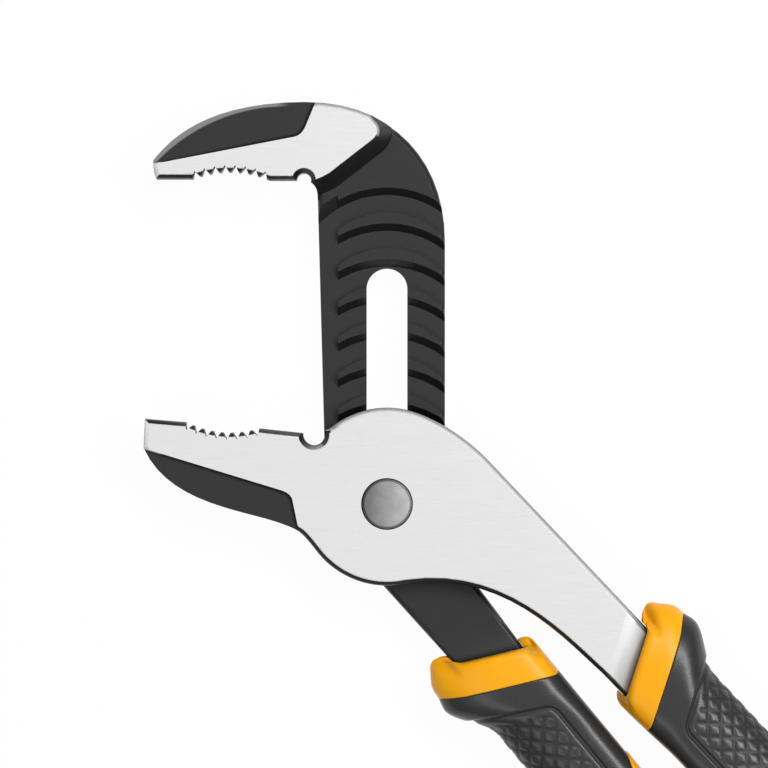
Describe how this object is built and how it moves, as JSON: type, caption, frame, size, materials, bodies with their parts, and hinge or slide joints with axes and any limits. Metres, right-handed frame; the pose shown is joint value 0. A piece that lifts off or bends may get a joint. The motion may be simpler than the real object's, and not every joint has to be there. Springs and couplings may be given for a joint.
{
  "type": "water pump pliers",
  "caption": "Tongue-and-groove water pump pliers: black slotted arm with arc grooves, ground-faced tongue arm on a sliding pivot bolt, and orange and grey two-shot grips.",
  "frame": {"origin": "pivot axis on the rest plane, with the pivot in the lowest groove (widest jaw setting)", "axes": "+Z along the pivot towards the bolt head, +Y along the slot towards the upper jaw, jaws towards -X"},
  "size_m": [0.205, 0.2267, 0.017],
  "materials": {
    "forged_black": "black forging with ground jaw faces",
    "ground_steel": "ground and polished faces, black edges",
    "bolt_steel": "turned, dull",
    "hard_orange": "moulded, half gloss",
    "soft_grey": "moulded, diamond texture on the outer side"
  },
  "bodies": {
    "slotted_arm": {"slotted_jaw_arm": "forged_black", "left_grip_core": "hard_orange", "left_grip_cover": "soft_grey"},
    "pivot": {"pivot_bolt": "bolt_steel", "pivot_washer": "bolt_steel", "pivot_nut": "bolt_steel"},
    "tongue_arm": {"tongue_jaw_arm": "ground_steel", "right_grip_core": "hard_orange", "right_grip_cover": "soft_grey"}
  },
  "joints": [
    {"name": "groove_slide", "type": "slide", "parent": "slotted_arm", "child": "pivot", "axis": [0, 1, 0], "range_m": [0, 0.0474]},
    {"name": "jaw_hinge", "type": "hinge", "parent": "pivot", "child": "tongue_arm", "pos_m": [0, 0, 0.0087], "axis": [0, 0, 1], "range_deg": [-4.5, 60]}
  ]
}
